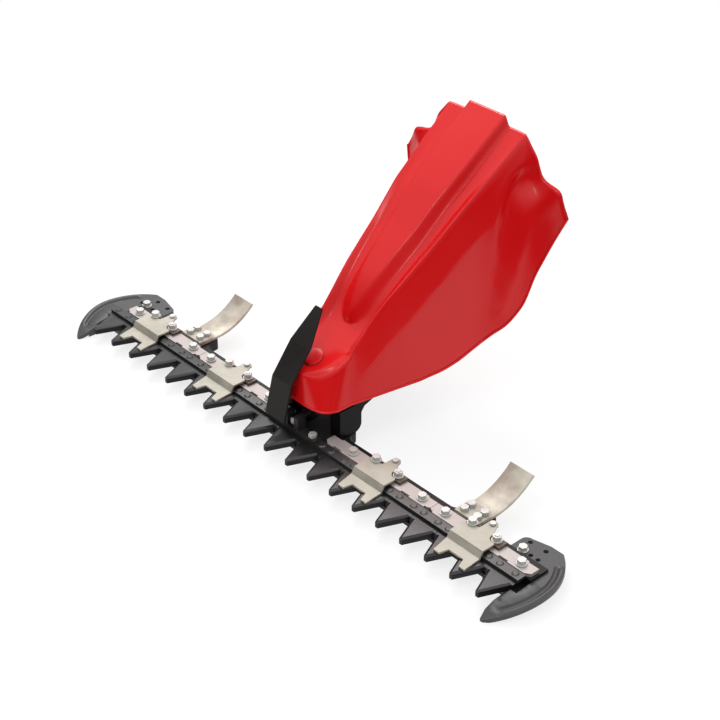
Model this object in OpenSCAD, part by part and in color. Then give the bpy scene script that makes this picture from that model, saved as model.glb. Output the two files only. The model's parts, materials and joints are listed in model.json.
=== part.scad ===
// Cutter bar attachment with a moulded hood.
// Millimetres, +Z up, X along the bar, the teeth point to -Y.
// The origin lies on the floor in the middle of the footprint.
// Lengths inside the modules count from the root of the middle tooth, and placed() carries them over.

/* [Knife and comb] */
// Spacing of the teeth
pitch = 42; // [40:1:44]
// Length of a tooth in front of its root
tooth_length = 36.5; // [33:0.5:40]
// Width of a tooth at its tip
tip_width = 4.5; // [3.5:0.5:6]
// Width of a tooth at its root
root_width = 35.6; // [33:0.2:38]
// Thickness of a knife section
section_t = 3; // [2.5:0.5:4]
// Width of the ground bevel of a knife section
bevel_width = 3; // [2:0.5:4]
// Thickness of the finger comb
comb_t = 6; // [5:0.5:8]
// Front edge of the knife back
back_front = 7.2; // [7:0.1:8]
// Width of the knife back
back_width = 13.3; // [12:0.1:13.4]
// Thickness of the knife back
back_t = 4; // [3:0.5:5]
// Distance of a rivet from the side of its section
rivet_edge = 8.7; // [7:0.1:10]
// Rivet shank diameter
rivet_d = 6; // [5:0.5:7]
// Height of a rivet head
rivet_head_h = 1.4; // [1:0.1:2]

/* [Main bar] */
// Middle of the bar, measured from the middle tooth
bar_shift = 11; // [8:1:14]
// Thickness of the bar base under the comb
base_t = 5.7; // [5:0.1:7]
// Rear edge of the bar
bar_rear = 51; // [50:0.5:52]
// Depth of a skid lug behind the bar
skid_lug_depth = 25; // [23:1:28]
// Width of a skid lug
skid_lug_w = 44; // [42:1:48]
// Half width of the lug under the drive housing
drive_lug_half = 58; // [57.5:0.5:62]
// Depth of the lug under the drive housing
drive_lug_depth = 20; // [18.5:0.5:23]
// Radius in the corners of the lugs
lug_fillet = 12; // [8:1:16]

/* [Guide plates] */
// Thickness of the guide plates
plate_t = 5; // [4:0.5:6]
// Depth of the guide plates
plate_depth = 20; // [18:0.5:20]
// Inner end of the inner plates, from the middle of the bar
plate_inner = 38; // [36:1:44]
// Joint between inner and outer plate as a part of the half bar
joint_part = 0.575; // [0.56:0.005:0.59]
// Distance of a plate bolt from the plate end
plate_bolt_edge = 20; // [18:1:24]
// Width of the notches in the front edge of the plates
notch_w = 14; // [10:1:18]
// Depth of the notches in the front edge of the plates
notch_depth = 2.5; // [1:0.5:4]

/* [Knife clips] */
// Width of a clip
clip_w = 54; // [50:1:58]
// Sheet thickness of a clip
clip_t = 2.5; // [2:0.1:3]
// Reach of the clip prongs in front of the tooth root
prong_reach = 24; // [18:0.5:26]
// Width of a prong at its tip
prong_tip = 9; // [7:0.5:11]
// Height of the spacer blocks
block_h = 4; // [3.5:0.5:6]
// Reach of the rear arm of a clip
clip_arm_y = 59; // [54:1:62]

/* [Fasteners] */
// Bolt diameter
bolt_d = 6; // [5:0.5:6.5]
// Width across flats of bolt heads and nuts
bolt_af = 10; // [9:0.5:11]
// Height of a bolt head
bolt_head = 5; // [4:0.1:5.5]
// Washer diameter
washer_d = 14; // [13:0.5:15]
// Washer thickness
washer_t = 1.8; // [1:0.1:2]
// Countersunk comb screw diameter
comb_screw_d = 6; // [5:0.5:6]

/* [Shoes and skids] */
// Thickness of the shoe sole
sole_t = 6.7; // [6:0.1:8]
// Overhang of a shoe beyond the end of the knife
shoe_out = 35.5; // [33:0.5:38]
// Radius of the outer edge of a shoe
shoe_r = 86.5; // [84:0.5:90]
// Foremost point of the shoes
shoe_tip_y = -52; // [-54:1:-48]
// Distance of the sole from the outer edge of a shoe
sole_inset = 16; // [14:1:20]
// Depth of the groove along the rim of a shoe
groove_depth = 2.5; // [1:0.5:3]
// Diameter of the free holes at the rear of a shoe
shoe_hole_d = 6.6; // [6:0.2:8]
// Middle of a skid as a part of the half bar
skid_part = 0.682; // [0.67:0.002:0.69]
// Width of a skid
skid_w = 38; // [34:1:40]
// Thickness of a skid
skid_t = 4; // [3:0.5:5]
// Inner radius of the skid curve
skid_r = 94; // [86:1:104]
// Angle of the skid curve
skid_angle = 45; // [40:1:50]
// Thickness of a skid clamp plate
clamp_t = 3; // [2.5:0.5:4]

/* [Drive] */
// Half stroke of the knife
half_stroke = 21; // [19:0.5:21]
// Height of the rocker shaft
rocker_z = 92; // [91:0.5:93]
// Height of the drive pin at mid stroke
pin_z = 36.5; // [36:0.5:38]
// Diameter of the drive pin
pin_d = 11; // [9:0.5:11]
// Diameter of the rocker shaft
rocker_d = 22; // [20:0.5:22]
// Distance from the rocker shaft up to the crank shaft
crank_rise = 40; // [40:0.5:42]
// Diameter of the crank shaft
crank_d = 25; // [22:0.5:26]
// Diameter of the crank roller
roller_d = 14; // [12:0.5:14]
// Outer diameter of a crank bearing
bearing_d = 47; // [44:1:48]
// Width of a crank bearing
bearing_w = 12; // [10:0.5:12]
// Bolt circle diameter of the hitch flange
hitch_circle_d = 84; // [80:1:88]
// Rim of the hitch flange outside its bolt circle
hitch_rim = 10; // [8:0.5:12]
// Diameter of a bolt hole in the hitch flange
hitch_hole_d = 9; // [8:0.5:10]

/* [Hood] */
// Wall thickness of the hood
hood_t = 3; // [2.5:0.1:3.2]
// Height of the level part of the hood rim
rim_z = 68; // [67:0.5:70]
// Foremost point of the hood rim
nose_y = 16.5; // [15.5:0.5:17]
// Middle of the round plug
plug_y = 48; // [46:0.5:49]
// Diameter of the round plug
plug_d = 27; // [24:0.5:29]

/* [Nose guard] */
// Thickness of the nose guard strip
guard_t = 3; // [2.5:0.1:3.5]
// Width of the nose guard strip
guard_w = 37; // [35:0.5:39]

/* [Clearances] */
// Gap between sliding faces
slide_gap = 0.35; // [0.3:0.05:0.4]
// Radial gap of a bolt or rivet in its hole
hole_gap = 0.15; // [0.1:0.05:0.2]
// Radial gap of a shaft or a bearing in its bore
run_gap = 0.05; // [0.03:0.01:0.08]
// Gap between fixed neighbours
seat_gap = 0.3; // [0.2:0.05:0.4]
// Play of the drive pin in the knife head on each side
pin_play = 0.7; // [0.6:0.05:0.9]

/* [Hidden] */

$fn = 48;
eps = 0.01;
teeth = 19;

// levels
bar_z = sole_t + seat_gap;
comb_z = bar_z + base_t;
section_z = comb_z + comb_t + slide_gap;
deck_z = section_z + section_t;
back_top = deck_z + back_t;
plate_top = deck_z + plate_t;
clip_top_z = plate_top + block_h;
clip_face = clip_top_z + clip_t;

// lengths along the bar
knife_half = teeth * pitch / 2 + 1;
comb_half = knife_half - 3.5;
bar_half = comb_half - 0.5;
plate_joint = joint_part * bar_half;
plate_end = bar_half - 3.5;
back_rear = back_front + back_width;
plate_front = back_rear + slide_gap;
plate_rear = plate_front + plate_depth;
plate_bolt_y = plate_front + plate_depth / 2;
upstand_y = back_rear + 1;
comb_rear = upstand_y - seat_gap;
bar_front = -2;
skid_off = skid_part * bar_half;
rivet_spread = pitch / 2 - rivet_edge;
function tooth_x(i) = (i - (teeth - 1) / 2) * pitch;

// holes
bolt_hole_d = bolt_d + 2 * hole_gap;
head_recess_d = bolt_af / cos(30) + 1;
outer_bolt = plate_end - plate_bolt_edge;
bolt_offsets = [2 * plate_joint - outer_bolt, plate_joint - plate_bolt_edge,
  plate_joint + plate_bolt_edge, outer_bolt];
plate_bolt_x = [for (s = [-1, 1]) for (o = bolt_offsets) bar_shift + s * o];
clip_x = [-7.5 * pitch, -3.5 * pitch, 3.5 * pitch, 7.5 * pitch];
clip_bolt_dx = -16.4;
clip_stud_dx = 23.5;
clip_hole_y = 36.5;
clip_rear = clip_hole_y + bolt_af / 2 + 1.5;
clamp_front = clip_rear + seat_gap + 0.3;
clamp_len = 28;
skid_bolt_dx = 11;
skid_bolt_ys = [clamp_front + 8, clamp_front + 20];
shoe_bolt_x = [-(bar_half - bar_shift - 2), bar_half + bar_shift - 46];
shoe_bolt_y = bar_rear + 6.5;
shoe_pad_half = 16;
shoe_pad_rear = shoe_bolt_y + 7;
shoe_h = section_z - slide_gap;

// drive
arm_len = rocker_z - pin_z;
swing = asin(half_stroke / arm_len);
crank_z = rocker_z + crank_rise;
throw = crank_rise * sin(swing);
lever_y0 = 34;
lever_y1 = 46;
house_y = 54;
tube_r = 21;
bush_r = rocker_d / 2 + 4;
bush_len = 20;
leg_in = 38;
leg_out = 57;
leg_front = plate_rear + 0.8;
leg_rear = 78;
leg_heel_r = 12;
bridge_top = rim_z - 4;
bridge_h = 15;
bridge_reach = 22;
case_y0 = 138;
case_wall = 5;
case_y1 = 178;
case_z = rocker_z + 19;
case_in = 45.5;
case_r = case_in + case_wall;
fork_y0 = 146;
fork_y1 = 156;
fork_half = roller_d / 2 + 0.6 + 7;
fork_tip = crank_rise + throw + 1;
roller_y0 = fork_y1 + 0.6;
roller_len = 7.5;
disc_y0 = roller_y0 + roller_len + 0.6;
disc_t = 8;
disc_r = throw + 8;
crank_pin_d = 8;
lid_t = 6;
neck_r = bearing_d / 2 + 5;
neck_y1 = 216;
flange_t = 10;
hitch_y = neck_y1 + flange_t;
hitch_d = hitch_circle_d + 2 * hitch_rim;
seal_d = crank_d + 16;
coupling_len = 26;
coupling_d = crank_d + 16;
cover_screw_r = case_r + 3;
cover_screw_d = 6;
housing_bolt_ys = [bar_rear - 3, bar_rear + 11];
housing_bolt_x = (leg_in + leg_out) / 2;
head_bolt_x = 36;
head_half = 46;
head_base = 4;
cheek_t = 8;
cheek_h = 22;

// carries a piece from the middle tooth to the origin of the part
module placed() {
  translate([0, -(shoe_tip_y + hood_rear) / 2, 0]) children();
}

// hexagon prism with flats af apart
module hex(af, h) {
  cylinder(d = af / cos(30), h = h, $fn = 6);
}

// bolt standing on z = 0 with its shank below
module bolt(shank, d = bolt_d, af = bolt_af, head = bolt_head) {
  hex(af, head);
  translate([0, 0, -shank]) cylinder(d = d, h = shank + eps);
}

module ring(d, bore, h) {
  difference() {
    cylinder(d = d, h = h);
    translate([0, 0, -1]) cylinder(d = bore, h = h + 2);
  }
}

// upright hole
module drill(x, y, d, z0, z1) {
  translate([x, y, z0]) cylinder(d = d, h = z1 - z0);
}

module box(x0, x1, y0, y1, z0, z1) {
  translate([x0, y0, z0]) cube([x1 - x0, y1 - y0, z1 - z0]);
}

// outline in x and z, carried from y0 to y1
module along_y(y0, y1) {
  translate([0, y1, 0]) rotate([90, 0, 0]) linear_extrude(y1 - y0) children();
}

// outline in y and z, carried from x0 to x1
module along_x(x0, x1) {
  translate([x0, 0, 0]) rotate([90, 0, 90]) linear_extrude(x1 - x0) children();
}

module rod_y(d, y0, y1, z, x = 0) {
  translate([x, y1, z]) rotate([90, 0, 0]) cylinder(d = d, h = y1 - y0);
}

module tube_y(d, bore, y0, y1, z) {
  difference() {
    rod_y(d, y0, y1, z);
    rod_y(bore, y0 - 1, y1 + 1, z);
  }
}

// tongue behind the bar, filleted at its root and rounded at its end
module lug(w, depth) {
  round_r = lug_fillet / 2;
  translate([-w / 2, -1]) square([w, depth + 1 - round_r]);
  translate([round_r - w / 2, -1]) square([w - 2 * round_r, depth + 1]);
  for (s = [-1, 1]) translate([s * (w / 2 - round_r), depth - round_r]) circle(r = round_r);
  difference() {
    translate([-w / 2 - lug_fillet, -1]) square([w + 2 * lug_fillet, lug_fillet + 1]);
    for (s = [-1, 1]) translate([s * (w / 2 + lug_fillet), lug_fillet]) circle(r = lug_fillet);
  }
}

module skid_places() {
  for (s = [-1, 1]) translate([bar_shift + s * skid_off, 0, 0]) children();
}

module skid_bolt_places() {
  skid_places() for (dx = [-skid_bolt_dx, skid_bolt_dx]) for (y = skid_bolt_ys)
    translate([dx, y, 0]) children();
}

module shoe_bolt_places() {
  for (x = shoe_bolt_x) translate([x, shoe_bolt_y, 0]) children();
}

module clip_places(dx) {
  for (x = clip_x) translate([x + dx, clip_hole_y, 0]) children();
}

module plate_bolt_places() {
  for (x = plate_bolt_x) translate([x, plate_bolt_y, 0]) children();
}

module housing_bolt_places() {
  for (s = [-1, 1]) for (y = housing_bolt_ys) translate([s * housing_bolt_x, y, 0]) children();
}

module deck_holes(z0, z1) {
  plate_bolt_places() drill(0, 0, bolt_hole_d, z0, z1);
  clip_places(clip_bolt_dx) drill(0, 0, bolt_hole_d, z0, z1);
  clip_places(clip_stud_dx) drill(0, 0, bolt_hole_d, z0, z1);
}

// bar with base, upstand and rear lugs
module main_bar() {
  color([0.05, 0.05, 0.055]) placed() difference() {
    union() {
      box(bar_shift - bar_half, bar_shift + bar_half, bar_front, bar_rear, bar_z, comb_z);
      box(bar_shift - bar_half, bar_shift + bar_half, upstand_y, bar_rear, bar_z, deck_z);
      skid_places() translate([0, bar_rear, bar_z])
        linear_extrude(deck_z - bar_z) lug(skid_lug_w, skid_lug_depth);
      translate([0, bar_rear, bar_z])
        linear_extrude(deck_z - bar_z) lug(2 * drive_lug_half, drive_lug_depth);
      for (x = shoe_bolt_x) translate([x, 0, 0])
        box(-shoe_pad_half, shoe_pad_half, bar_rear - 1, shoe_pad_rear, bar_z, comb_z);
    }
    deck_holes(bar_z - 1, deck_z + 1);
    skid_bolt_places() drill(0, 0, bolt_hole_d, bar_z - 1, deck_z + 1);
    shoe_bolt_places() drill(0, 0, bolt_hole_d, bar_z - 1, comb_z + 1);
    shoe_bolt_places() drill(0, 0, washer_d + 2, comb_z, deck_z + 1);
    for (i = [1 : 2 : teeth - 2])
      drill(tooth_x(i), comb_screw_y, comb_screw_d + 2 * hole_gap, bar_z - 1, comb_z + 1);
    housing_bolt_places() drill(0, 0, bolt_hole_d, bar_z - 1, deck_z + 1);
    housing_bolt_places() drill(0, 0, head_recess_d, bar_z - 1, bar_z + bolt_head + seat_gap);
  }
}

// one tooth, root on y = 0
module tooth() {
  polygon([[-root_width / 2, eps], [-tip_width / 2, -tooth_length],
    [tip_width / 2, -tooth_length], [root_width / 2, eps]]);
}

comb_screw_y = 13;
comb_head_h = 3;

// fixed comb under the knife
module finger_comb() {
  color([0.04, 0.04, 0.045]) placed() difference() {
    translate([0, 0, comb_z]) linear_extrude(comb_t) {
      translate([-comb_half, 0]) square([2 * comb_half, comb_rear]);
      for (i = [0 : teeth - 1]) translate([tooth_x(i), 0]) tooth();
    }
    for (i = [1 : 2 : teeth - 2]) translate([tooth_x(i), comb_screw_y, comb_z]) {
      translate([0, 0, -1]) cylinder(d = comb_screw_d + 2 * hole_gap, h = comb_t + 2);
      translate([0, 0, comb_t - comb_head_h - hole_gap])
        cylinder(d1 = comb_screw_d + 2 * hole_gap, d2 = 2 * comb_screw_d + 2 * hole_gap,
          h = comb_head_h + hole_gap);
    }
  }
}

// countersunk screws of the comb
module comb_screws() {
  color([0.25, 0.25, 0.26]) placed() for (i = [1 : 2 : teeth - 2])
    translate([tooth_x(i), comb_screw_y, comb_z + comb_t]) {
      translate([0, 0, -comb_head_h]) cylinder(d1 = comb_screw_d, d2 = 2 * comb_screw_d, h = comb_head_h);
      translate([0, 0, -comb_t - base_t + 0.5]) cylinder(d = comb_screw_d, h = comb_t + base_t - comb_head_h);
    }
}

chamfer_x = 7.6;
chamfer_y = 5;

// guide plate from x0 to x1
module guide_plate(x0, x1) {
  color([0.58, 0.56, 0.55]) placed() difference() {
    translate([0, 0, deck_z]) linear_extrude(plate_t) difference() {
      polygon([[x0, plate_front + chamfer_y], [x0 + chamfer_x, plate_front],
        [x1 - chamfer_x, plate_front], [x1, plate_front + chamfer_y],
        [x1, plate_rear - 2], [x1 - 2 * chamfer_x, plate_rear - 2], [x1 - 2 * chamfer_x - 2, plate_rear],
        [x0 + 2 * chamfer_x + 2, plate_rear], [x0 + 2 * chamfer_x, plate_rear - 2], [x0, plate_rear - 2]]);
      for (x = plate_bolt_x) translate([x - notch_w * 2, plate_front - 1]) square([notch_w, notch_depth + 1]);
    }
    deck_holes(deck_z - 1, plate_top + 1);
  }
}

module left_outer_plate() {
  guide_plate(bar_shift - plate_end, bar_shift - plate_joint - seat_gap);
}

module left_inner_plate() {
  guide_plate(bar_shift - plate_joint + seat_gap, bar_shift - plate_inner);
}

module right_inner_plate() {
  guide_plate(bar_shift + plate_inner, bar_shift + plate_joint - seat_gap);
}

module right_outer_plate() {
  guide_plate(bar_shift + plate_joint + seat_gap, bar_shift + plate_end);
}

module plate_bolts() {
  color([0.75, 0.75, 0.72]) placed() plate_bolt_places()
    translate([0, 0, plate_top + washer_t]) bolt(plate_top + washer_t - bar_z - 1);
}

module plate_washers() {
  color([0.7, 0.7, 0.68]) placed() plate_bolt_places()
    translate([0, 0, plate_top]) ring(washer_d, bolt_hole_d, washer_t);
}

// pressed hold-down over two teeth, notched round its two fasteners
clip_left = clip_w / 2 - 1.3;
clip_right = clip_w - clip_left;
tongue_w = 13;
tongue_x = 1.5;
tongue_y = clip_arm_y - tongue_w / 2;
tongue_pin_d = 5;

module knife_clip(n) {
  lip_z = deck_z + slide_gap;
  lip_top = lip_z + clip_t;
  low_y = 3;
  high_y = 8;
  lean = atan2(high_y - low_y, clip_face - lip_top);
  wall = clip_t / cos(lean);
  inner_low = low_y - clip_t * tan(lean) + wall;
  inner_high = high_y - clip_t * tan(lean) + wall;
  prong_shift = 5;
  prong_out = clip_w / 2 - 1.8;
  valley_x = 12;
  valley_y = -11;
  corner_y = clip_hole_y - 10;
  stud_notch = washer_d / 2 + 1.5;
  bolt_notch = washer_d / 2 - 0.8;
  color([0.8, 0.79, 0.68]) placed() translate([clip_x[n], 0, 0]) {
    translate([0, 0, lip_z]) linear_extrude(clip_t)
      polygon([[-clip_left, low_y + 1], [prong_shift - prong_out, -prong_reach],
        [prong_shift - prong_out + prong_tip, -prong_reach], [prong_shift - valley_x - 1, valley_y],
        [prong_shift + valley_x - 1, valley_y], [prong_shift + prong_out - prong_tip, -prong_reach],
        [prong_shift + prong_out, -prong_reach], [clip_right, low_y + 1]]);
    along_x(-clip_left, clip_right) polygon([[low_y, lip_top], [high_y, clip_face],
      [inner_high, clip_top_z], [inner_low, lip_z]]);
    translate([0, 0, clip_top_z]) linear_extrude(clip_t) difference() {
      union() {
        polygon([[-clip_left, high_y], [clip_right, high_y], [clip_right, corner_y],
          [tongue_x + tongue_w, clip_hole_y + 3], [tongue_x + tongue_w / 2, tongue_y],
          [tongue_x - tongue_w / 2, tongue_y], [tongue_x - tongue_w / 2, clip_hole_y],
          [-clip_left, clip_hole_y - 6]]);
        translate([tongue_x, tongue_y]) circle(d = tongue_w);
      }
      translate([clip_bolt_dx, clip_hole_y]) circle(r = bolt_notch);
      translate([clip_stud_dx, clip_hole_y]) circle(r = stud_notch);
      translate([tongue_x, tongue_y]) circle(d = tongue_pin_d);
    }
  }
}

module knife_clip_1() {
  knife_clip(0);
}

module knife_clip_2() {
  knife_clip(1);
}

module knife_clip_3() {
  knife_clip(2);
}

module knife_clip_4() {
  knife_clip(3);
}

// spacers between the guide plates and the clips
module clip_blocks() {
  block_front = clip_hole_y - 8.5;
  block_half = 9.4;
  block_right = block_half + 2;
  color([0.3, 0.24, 0.2]) placed() for (x = clip_x) {
    difference() {
      box(x - clip_left, x + clip_bolt_dx + block_half, block_front, clip_rear, plate_top, clip_top_z);
      drill(x + clip_bolt_dx, clip_hole_y, bolt_hole_d, plate_top - 1, clip_top_z + 1);
    }
    translate([x + clip_stud_dx, 0, 0]) difference() {
      box(-block_half, block_right, block_front, clip_rear, plate_top, clip_top_z);
      drill(0, clip_hole_y, bolt_hole_d, plate_top - 1, clip_top_z + 1);
    }
  }
}

module clip_bolts() {
  color([0.75, 0.75, 0.72]) placed() clip_places(clip_bolt_dx)
    translate([0, 0, clip_face + washer_t]) bolt(clip_face + washer_t - bar_z - 1);
}

module clip_washers() {
  color([0.7, 0.7, 0.68]) placed() {
    clip_places(clip_bolt_dx) translate([0, 0, clip_face]) ring(washer_d, bolt_hole_d, washer_t);
    clip_places(clip_stud_dx) translate([0, 0, clip_top_z]) ring(washer_d, bolt_hole_d, washer_t);
  }
}

stud_nut_h = bolt_head + 1;
stud_nut_z = clip_top_z + washer_t;

module clip_studs() {
  color([0.7, 0.7, 0.68]) placed() clip_places(clip_stud_dx)
    drill(0, 0, bolt_d, bar_z + 1, stud_nut_z + stud_nut_h + 1);
}

module clip_nuts() {
  color([0.75, 0.75, 0.72]) placed() clip_places(clip_stud_dx) translate([0, 0, stud_nut_z]) difference() {
    hex(bolt_af, stud_nut_h);
    translate([0, 0, -1]) cylinder(d = bolt_hole_d, h = stud_nut_h + 2);
  }
}

// headed pins in the ends of the clip tongues
module tongue_pins() {
  head_d = tongue_pin_d + 3;
  head_h = 3;
  color([0.7, 0.7, 0.68]) placed() for (x = clip_x) translate([x + tongue_x, tongue_y, clip_face]) {
    cylinder(d = head_d, h = head_h);
    translate([0, 0, -clip_t - 1]) cylinder(d = tongue_pin_d - 2 * hole_gap, h = clip_t + 1 + eps);
  }
}

// shoe outline, measured from the middle tooth
shoe_cx = knife_half + shoe_out - shoe_r;
shoe_cy = 16;
shoe_inner = knife_half - 5;
shoe_rear = shoe_cy + shoe_r - 15.5;
shoe_left = shoe_bolt_x[1] - shoe_pad_half;
shoe_corner = 9;
shoe_skin = shoe_h - comb_z - seat_gap;
rim_r = 204;
rim_y = shoe_cy + 9;
heel_left = shoe_left + 44;
heel_rear = shoe_rear - 3;
heel_inset = 5;
shoe_step = 6;
shoe_waist = shoe_left + 34;
rear_holes = [[shoe_left + 12, shoe_rear - 12.5], [shoe_left + 36, shoe_rear - 11.5]];
spare_holes = [[-13, 12.5], [12.5, 24]];
groove_r = shoe_r - 6.5;
groove_w = 7;
groove_angle = 41;

module shoe_plan(inset = 0) {
  intersection() {
    translate([shoe_cx, shoe_cy]) circle(r = shoe_r - inset, $fn = 96);
    union() {
      polygon([[shoe_inner + 4, shoe_tip_y], [shoe_inner, shoe_tip_y + 2 * shoe_step],
        [shoe_inner - 2, bar_front - seat_gap], [shoe_left + shoe_corner, bar_front - seat_gap],
        [shoe_left, bar_rear + seat_gap], [shoe_left, shoe_rear - shoe_step - shoe_corner],
        [shoe_left + shoe_corner, shoe_rear - shoe_step], [shoe_waist, shoe_rear],
        [shoe_cx + shoe_r, shoe_rear], [shoe_cx + shoe_r, shoe_tip_y]]);
      translate([shoe_left + shoe_corner, shoe_rear - shoe_step - shoe_corner]) circle(r = shoe_corner);
    }
  }
}

// side view of the top of a shoe, lowered by drop
module shoe_side(drop = 0) {
  intersection() {
    translate([rim_y, shoe_h - rim_r - drop]) circle(r = rim_r, $fn = 180);
    translate([rim_y - rim_r, 0]) square([rim_r, shoe_h]);
  }
  translate([rim_y, 0]) square([rim_r, shoe_h - drop]);
}

module shoe(s) {
  bar_end = bar_half + s * bar_shift + seat_gap;
  bolt_x = s * shoe_bolt_x[(s + 1) / 2];
  pad_in = bolt_x - shoe_pad_half - seat_gap;
  pad_out = bolt_x + shoe_pad_half + seat_gap;
  far = shoe_cx + shoe_r + 1;
  near = shoe_left - 1;
  reach = 2 * shoe_r;
  color([0.07, 0.07, 0.075]) placed() scale([s, 1, 1]) difference() {
    union() {
      intersection() {
        linear_extrude(shoe_h) shoe_plan();
        along_x(near, far) difference() {
          shoe_side();
          shoe_side(shoe_skin);
        }
      }
      intersection() {
        linear_extrude(shoe_h) shoe_plan(sole_inset);
        along_x(near, far) shoe_side();
        box(near, far, shoe_tip_y, shoe_pad_rear + seat_gap + 4, 0, shoe_h);
      }
      intersection() {
        linear_extrude(shoe_h) shoe_plan(heel_inset);
        along_x(near, far) shoe_side();
        box(heel_left, far, shoe_bolt_y, heel_rear, 0, shoe_h);
      }
    }
    box(near, bar_end, bar_front - seat_gap, bar_rear + seat_gap, sole_t, shoe_h + 1);
    box(pad_in, pad_out, bar_rear - 1, shoe_pad_rear + seat_gap, sole_t, comb_z + seat_gap);
    box(near, comb_half + seat_gap + 1, -tooth_length - 2, comb_rear + 1, comb_z - seat_gap, shoe_h + 1);
    for (h = rear_holes) drill(h[0], h[1], shoe_hole_d, -1, shoe_h + 1);
    for (dx = spare_holes[(s + 1) / 2]) drill(bolt_x + dx, shoe_bolt_y, bolt_d, comb_z, shoe_h + 1);
    drill(bolt_x, shoe_bolt_y, bolt_hole_d, comb_z - 1, shoe_h + 1);
    difference() {
      translate([shoe_cx, shoe_cy, 0]) intersection() {
        ring(2 * groove_r, 2 * (groove_r - groove_w), shoe_h + 1);
        linear_extrude(shoe_h + 1) polygon([[0, 0],
          [reach * cos(groove_angle), -reach * sin(groove_angle)],
          [reach * cos(groove_angle), reach * sin(groove_angle)]]);
      }
      along_x(near, far) shoe_side(groove_depth);
    }
  }
}

module left_shoe() {
  shoe(-1);
}

module right_shoe() {
  shoe(1);
}

module shoe_bolts() {
  color([0.75, 0.75, 0.72]) placed() shoe_bolt_places()
    translate([0, 0, shoe_h + washer_t]) bolt(shoe_h + washer_t - bar_z - 0.5);
}

module shoe_washers() {
  color([0.7, 0.7, 0.68]) placed() shoe_bolt_places()
    translate([0, 0, shoe_h]) ring(washer_d, bolt_hole_d, washer_t);
}

// curved strap behind the bar
module skid(s) {
  curve_y = clamp_front + clamp_len;
  curve_z = deck_z + skid_t + skid_r;
  reach = 2 * skid_r;
  color([0.82, 0.82, 0.74]) placed() translate([bar_shift + s * skid_off, 0, 0]) difference() {
    union() {
      box(-skid_w / 2, skid_w / 2, clamp_front, curve_y, deck_z, deck_z + skid_t);
      along_x(-skid_w / 2, skid_w / 2) intersection() {
        difference() {
          translate([curve_y, curve_z]) circle(r = skid_r + skid_t, $fn = 96);
          translate([curve_y, curve_z]) circle(r = skid_r, $fn = 96);
        }
        polygon([[curve_y, curve_z], [curve_y, curve_z - reach],
          [curve_y + reach * sin(skid_angle), curve_z - reach],
          [curve_y + reach * sin(skid_angle), curve_z - reach * cos(skid_angle)]]);
      }
    }
    for (dx = [-skid_bolt_dx, skid_bolt_dx]) for (y = skid_bolt_ys)
      drill(dx, y, bolt_hole_d, deck_z - 1, deck_z + skid_t + 1);
  }
}

module left_skid() {
  skid(-1);
}

module right_skid() {
  skid(1);
}

// plate that clamps a skid on its lug
module skid_clamp(s) {
  clamp_z = deck_z + skid_t;
  cut = 6;
  half = skid_w / 2 + 1;
  color([0.8, 0.79, 0.68]) placed() translate([bar_shift + s * skid_off, 0, clamp_z]) difference() {
    linear_extrude(clamp_t) polygon([[-half, clamp_front], [half, clamp_front],
      [half, clamp_front + clamp_len - cut], [half - cut, clamp_front + clamp_len],
      [-half + cut, clamp_front + clamp_len], [-half, clamp_front + clamp_len - cut]]);
    for (dx = [-skid_bolt_dx, skid_bolt_dx]) for (y = skid_bolt_ys)
      drill(dx, y, bolt_hole_d, -1, clamp_t + 1);
  }
}

module left_skid_clamp() {
  skid_clamp(-1);
}

module right_skid_clamp() {
  skid_clamp(1);
}

module skid_bolts() {
  top = deck_z + skid_t + clamp_t;
  color([0.75, 0.75, 0.72]) placed() skid_bolt_places() translate([0, 0, top])
    bolt(top - bar_z - 1);
}

// flat bar that carries the sections
module knife_back() {
  color([0.3, 0.3, 0.31]) placed() difference() {
    box(-knife_half, knife_half, back_front, back_rear, deck_z, back_top);
    rivet_places() drill(0, 0, rivet_d + 2 * hole_gap, deck_z - 1, back_top + 1);
    for (s = [-1, 1]) drill(s * head_bolt_x, rivet_y, bolt_hole_d, deck_z - 1, back_top + 1);
  }
}

rivet_y = 13.5;
rivet_head_d = 9.6;

function under_head(x) = abs(x) < head_half + rivet_head_d / 2;

module rivet_places() {
  for (i = [0 : teeth - 1]) for (s = [-1, 1])
    if (!under_head(tooth_x(i) + s * rivet_spread) || i == (teeth - 1) / 2)
      translate([tooth_x(i) + s * rivet_spread, rivet_y, 0]) children();
}

// triangular blade with ground edges
module knife_section() {
  lean = atan2((root_width - tip_width) / 2, -tooth_length);
  bevel_drop = section_t / 2;
  bevel_angle = atan2(bevel_drop, bevel_width);
  difference() {
    linear_extrude(section_t) {
      translate([-pitch / 2 + 0.2, 0]) square([pitch - 0.4, back_rear]);
      tooth();
    }
    for (s = [-1, 1]) scale([s, 1, 1]) translate([root_width / 2, 0, section_t - bevel_drop])
      rotate([0, 0, lean]) rotate([0, -bevel_angle, 0])
        translate([-bevel_width, 0, 0]) cube([bevel_width * 3, tooth_length * 1.3, section_t]);
  }
}

module knife_sections() {
  color([0.2, 0.2, 0.21]) placed() difference() {
    for (i = [0 : teeth - 1]) translate([tooth_x(i), 0, section_z]) knife_section();
    rivet_places() drill(0, 0, rivet_d + 2 * hole_gap, section_z - 1, deck_z + 1);
    for (s = [-1, 1]) drill(s * head_bolt_x, rivet_y, bolt_hole_d, section_z - 1, deck_z + 1);
  }
}

module knife_rivets() {
  color([0.12, 0.12, 0.12]) placed() for (i = [0 : teeth - 1]) for (s = [-1, 1]) {
    x = tooth_x(i) + s * rivet_spread;
    if (!under_head(x)) {
      drill(x, rivet_y, rivet_d, section_z, back_top + eps);
      translate([x, rivet_y, back_top]) cylinder(d1 = rivet_head_d, d2 = rivet_d, h = rivet_head_h);
    } else if (i == (teeth - 1) / 2) {
      drill(x, rivet_y, rivet_d, section_z, back_top);
    }
  }
}

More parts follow.
